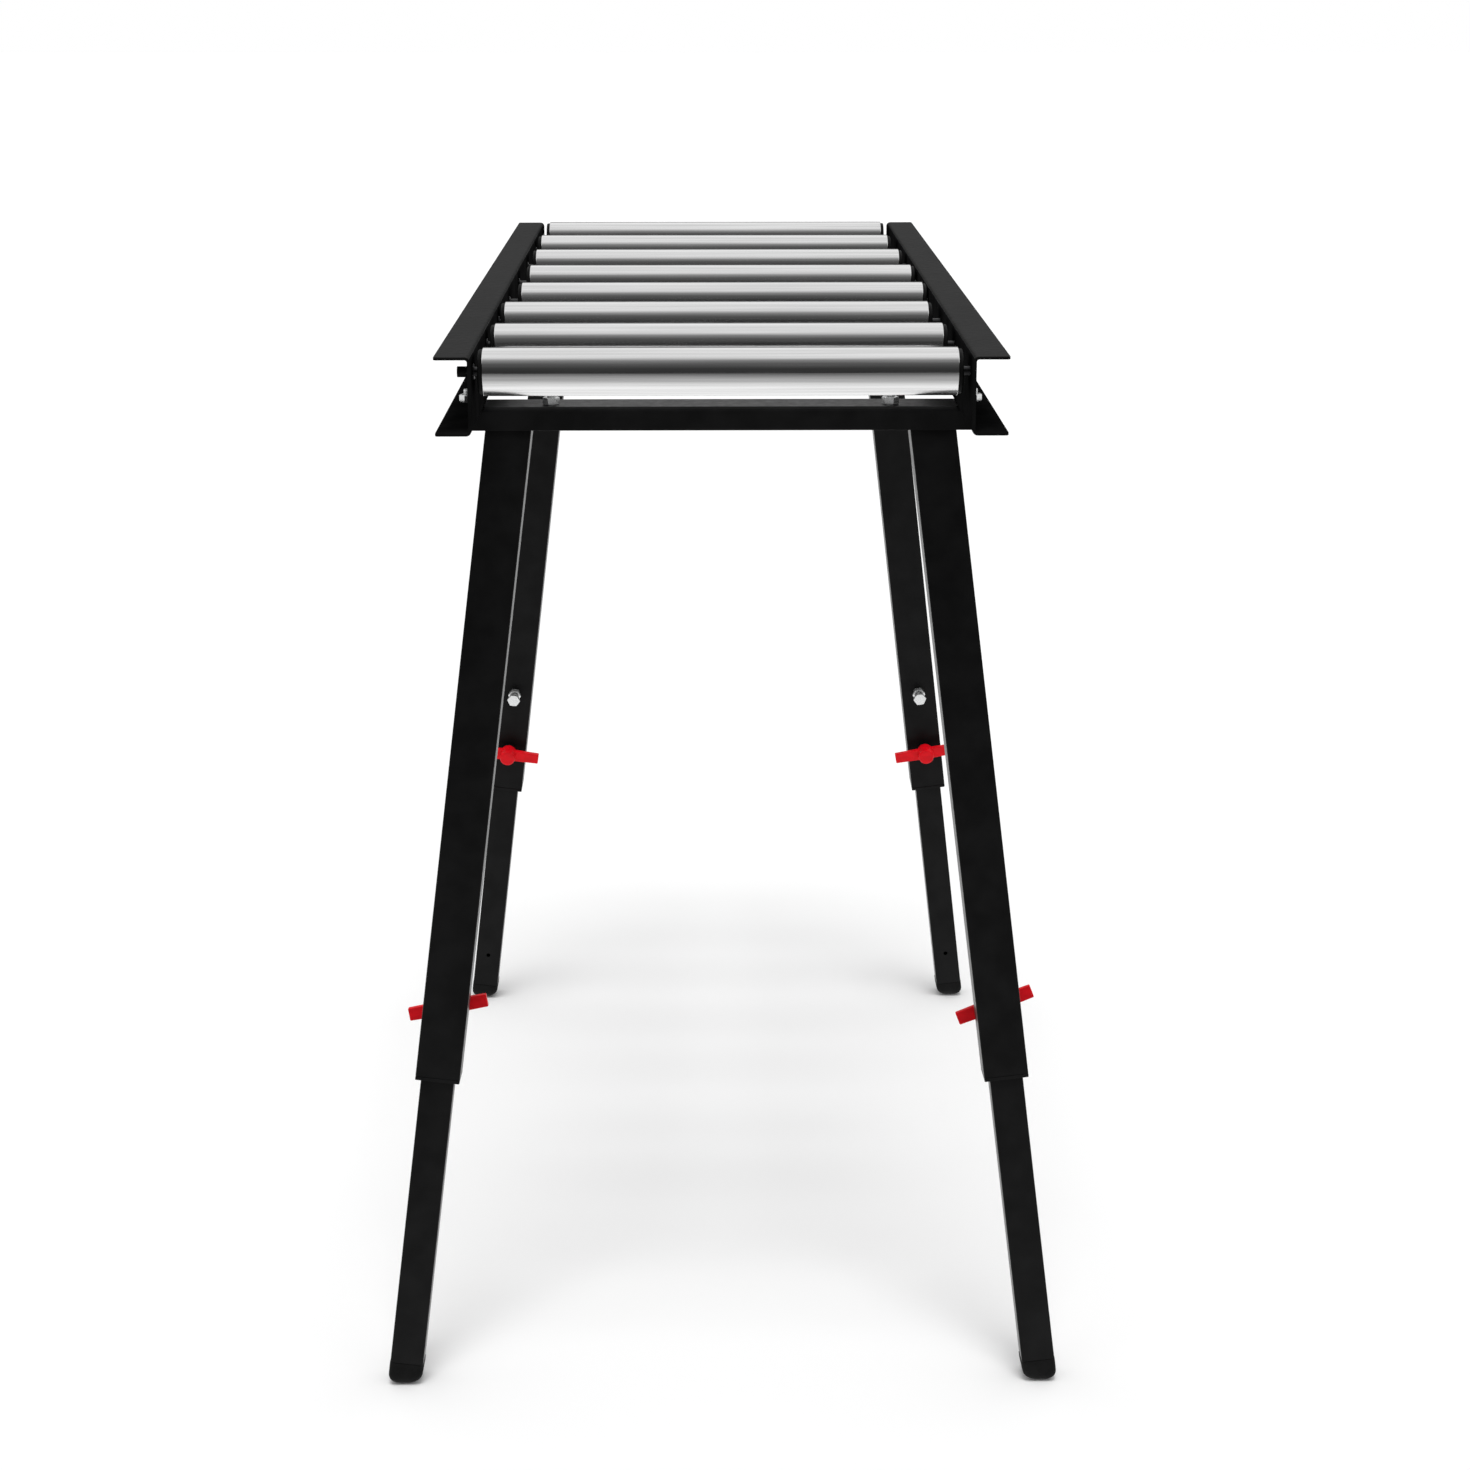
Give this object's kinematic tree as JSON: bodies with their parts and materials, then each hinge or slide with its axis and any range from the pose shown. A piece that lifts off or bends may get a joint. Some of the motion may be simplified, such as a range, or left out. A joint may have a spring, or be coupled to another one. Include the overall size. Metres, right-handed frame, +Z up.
{
  "type": "roller conveyor",
  "caption": "Free-standing gravity roller conveyor: steel rollers between channel rails on splayed telescopic legs with clamp knobs.",
  "frame": {"origin": "on the floor under the middle of the conveyor", "axes": "+X across the rollers to the right of the pictured end, +Y along the rails away from it, +Z up"},
  "size_m": [0.6124, 1.1, 0.9585],
  "materials": {
    "black_powder_coat": "black powder coat, satin, with a fine orange-peel grain",
    "zinc_roller": "bright zinc plate on drawn tube, faint lengthwise lines",
    "zinc_fastener": "bright zinc plate",
    "bearing_steel": "ground and polished steel",
    "axle_steel": "drawn bar, lightly oiled",
    "black_plastic": "moulded black plastic, fine matt grain",
    "red_plastic": "moulded red plastic, half gloss",
    "foot_rubber": "moulded black rubber, matt"
  },
  "bodies": {
    "frame": {"left_rail": "black_powder_coat", "right_rail": "black_powder_coat", "front_cross_member": "black_powder_coat", "rear_cross_member": "black_powder_coat", "roller_axles": "axle_steel", "axle_caps": "black_plastic", "axle_snap_rings": "axle_steel", "bearing_inner_rings": "bearing_steel", "upper_leg_front_left": "black_powder_coat", "upper_leg_front_right": "black_powder_coat", "upper_leg_rear_left": "black_powder_coat", "upper_leg_rear_right": "black_powder_coat", "leg_head_plates": "black_powder_coat", "clamp_nuts": "zinc_fastener", "lock_nuts": "zinc_fastener", "lock_bolts": "zinc_fastener", "frame_bolts": "zinc_fastener", "frame_nuts": "zinc_fastener"},
    "roller_1": {"roller_tube_1": "zinc_roller", "roller_end_caps_1": "black_plastic", "roller_bearings_1": "bearing_steel"},
    "roller_2": {"roller_tube_2": "zinc_roller", "roller_end_caps_2": "black_plastic", "roller_bearings_2": "bearing_steel"},
    "roller_3": {"roller_tube_3": "zinc_roller", "roller_end_caps_3": "black_plastic", "roller_bearings_3": "bearing_steel"},
    "roller_4": {"roller_tube_4": "zinc_roller", "roller_end_caps_4": "black_plastic", "roller_bearings_4": "bearing_steel"},
    "roller_5": {"roller_tube_5": "zinc_roller", "roller_end_caps_5": "black_plastic", "roller_bearings_5": "bearing_steel"},
    "roller_6": {"roller_tube_6": "zinc_roller", "roller_end_caps_6": "black_plastic", "roller_bearings_6": "bearing_steel"},
    "roller_7": {"roller_tube_7": "zinc_roller", "roller_end_caps_7": "black_plastic", "roller_bearings_7": "bearing_steel"},
    "roller_8": {"roller_tube_8": "zinc_roller", "roller_end_caps_8": "black_plastic", "roller_bearings_8": "bearing_steel"},
    "lower_leg_front_left": {"lower_leg_front_left": "black_powder_coat", "foot_front_left": "foot_rubber"},
    "clamp_screw_front_left": {"clamp_screw_front_left": "zinc_fastener"},
    "clamp_knob_front_left": {"clamp_knob_front_left": "red_plastic"},
    "lower_leg_front_right": {"lower_leg_front_right": "black_powder_coat", "foot_front_right": "foot_rubber"},
    "clamp_screw_front_right": {"clamp_screw_front_right": "zinc_fastener"},
    "clamp_knob_front_right": {"clamp_knob_front_right": "red_plastic"},
    "lower_leg_rear_left": {"lower_leg_rear_left": "black_powder_coat", "foot_rear_left": "foot_rubber"},
    "clamp_screw_rear_left": {"clamp_screw_rear_left": "zinc_fastener"},
    "clamp_knob_rear_left": {"clamp_knob_rear_left": "red_plastic"},
    "lower_leg_rear_right": {"lower_leg_rear_right": "black_powder_coat", "foot_rear_right": "foot_rubber"},
    "clamp_screw_rear_right": {"clamp_screw_rear_right": "zinc_fastener"},
    "clamp_knob_rear_right": {"clamp_knob_rear_right": "red_plastic"}
  },
  "joints": [
    {"name": "roller_1_spin", "type": "hinge", "parent": "frame", "child": "roller_1", "pos_m": [0, -0.518, 0.9385], "axis": [1, 0, 0], "continuous": true},
    {"name": "roller_2_spin", "type": "hinge", "parent": "frame", "child": "roller_2", "pos_m": [0, -0.37, 0.9385], "axis": [1, 0, 0], "continuous": true},
    {"name": "roller_3_spin", "type": "hinge", "parent": "frame", "child": "roller_3", "pos_m": [0, -0.222, 0.9385], "axis": [1, 0, 0], "continuous": true},
    {"name": "roller_4_spin", "type": "hinge", "parent": "frame", "child": "roller_4", "pos_m": [0, -0.074, 0.9385], "axis": [1, 0, 0], "continuous": true},
    {"name": "roller_5_spin", "type": "hinge", "parent": "frame", "child": "roller_5", "pos_m": [0, 0.074, 0.9385], "axis": [1, 0, 0], "continuous": true},
    {"name": "roller_6_spin", "type": "hinge", "parent": "frame", "child": "roller_6", "pos_m": [0, 0.222, 0.9385], "axis": [1, 0, 0], "continuous": true},
    {"name": "roller_7_spin", "type": "hinge", "parent": "frame", "child": "roller_7", "pos_m": [0, 0.37, 0.9385], "axis": [1, 0, 0], "continuous": true},
    {"name": "roller_8_spin", "type": "hinge", "parent": "frame", "child": "roller_8", "pos_m": [0, 0.518, 0.9385], "axis": [1, 0, 0], "continuous": true},
    {"name": "leg_slide_front_left", "type": "slide", "parent": "frame", "child": "lower_leg_front_left", "axis": [-0.1211, -0.1106, -0.9865], "range_m": [-0.25, 0.12]},
    {"name": "clamp_feed_front_left", "type": "slide", "parent": "frame", "child": "clamp_screw_front_left", "axis": [-0.0135, 0.9939, -0.1098], "range_m": [0, 0.0019]},
    {"name": "clamp_turn_front_left", "type": "hinge", "parent": "clamp_screw_front_left", "child": "clamp_knob_front_left", "pos_m": [-0.25049, -0.4125, 0.33629], "axis": [-0.0135, 0.9939, -0.1098], "range_deg": [0, 540]},
    {"name": "leg_slide_front_right", "type": "slide", "parent": "frame", "child": "lower_leg_front_right", "axis": [0.1211, -0.1106, -0.9865], "range_m": [-0.25, 0.12]},
    {"name": "clamp_feed_front_right", "type": "slide", "parent": "frame", "child": "clamp_screw_front_right", "axis": [0.0135, 0.9939, -0.1098], "range_m": [0, 0.0019]},
    {"name": "clamp_turn_front_right", "type": "hinge", "parent": "clamp_screw_front_right", "child": "clamp_knob_front_right", "pos_m": [0.25049, -0.4125, 0.33629], "axis": [0.0135, 0.9939, -0.1098], "range_deg": [0, 540]},
    {"name": "leg_slide_rear_left", "type": "slide", "parent": "frame", "child": "lower_leg_rear_left", "axis": [-0.1211, 0.1106, -0.9865], "range_m": [-0.25, 0.12]},
    {"name": "clamp_feed_rear_left", "type": "slide", "parent": "frame", "child": "clamp_screw_rear_left", "axis": [-0.0135, -0.9939, -0.1098], "range_m": [0, 0.0019]},
    {"name": "clamp_turn_rear_left", "type": "hinge", "parent": "clamp_screw_rear_left", "child": "clamp_knob_rear_left", "pos_m": [-0.25049, 0.4125, 0.33629], "axis": [-0.0135, -0.9939, -0.1098], "range_deg": [0, 540]},
    {"name": "leg_slide_rear_right", "type": "slide", "parent": "frame", "child": "lower_leg_rear_right", "axis": [0.1211, 0.1106, -0.9865], "range_m": [-0.25, 0.12]},
    {"name": "clamp_feed_rear_right", "type": "slide", "parent": "frame", "child": "clamp_screw_rear_right", "axis": [0.0135, -0.9939, -0.1098], "range_m": [0, 0.0019]},
    {"name": "clamp_turn_rear_right", "type": "hinge", "parent": "clamp_screw_rear_right", "child": "clamp_knob_rear_right", "pos_m": [0.25049, 0.4125, 0.33629], "axis": [0.0135, -0.9939, -0.1098], "range_deg": [0, 540]}
  ],
  "couplings": [
    {"joint": "clamp_feed_front_left", "follows": "clamp_turn_front_left", "m_per_rad": 0.00019894},
    {"joint": "clamp_feed_front_right", "follows": "clamp_turn_front_right", "m_per_rad": 0.00019894},
    {"joint": "clamp_feed_rear_left", "follows": "clamp_turn_rear_left", "m_per_rad": 0.00019894},
    {"joint": "clamp_feed_rear_right", "follows": "clamp_turn_rear_right", "m_per_rad": 0.00019894}
  ]
}
